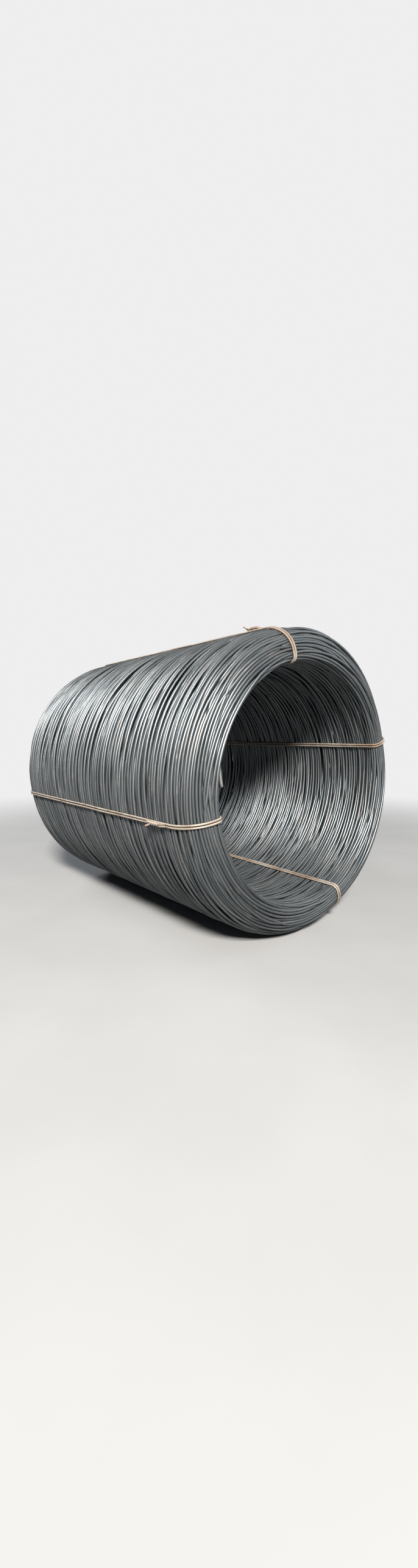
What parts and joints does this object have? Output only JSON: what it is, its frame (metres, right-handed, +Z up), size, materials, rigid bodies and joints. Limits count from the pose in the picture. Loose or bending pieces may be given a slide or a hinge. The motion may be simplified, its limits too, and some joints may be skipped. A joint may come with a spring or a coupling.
{
  "type": "coil of wire rod",
  "caption": "Compacted coil of hot-rolled steel wire rod lying on its side, with an open bore, rounded ends and double wire ties round its wall.",
  "frame": {"origin": "on the floor under the middle of the coil", "axes": "+Y along the axis of the bore, from the front end to the back end; +Z up"},
  "size_m": [1.1282, 1.3136, 1.1204],
  "materials": {
    "rod": "hot-rolled steel with blue-grey mill scale and faint rust",
    "tie_wire": "soft annealed steel wire, beige with light rust"
  },
  "bodies": {
    "root": {"rod_coil": "rod", "tie_top": "tie_wire", "tie_right": "tie_wire", "tie_bottom": "tie_wire", "tie_left": "tie_wire"}
  },
  "joints": []
}
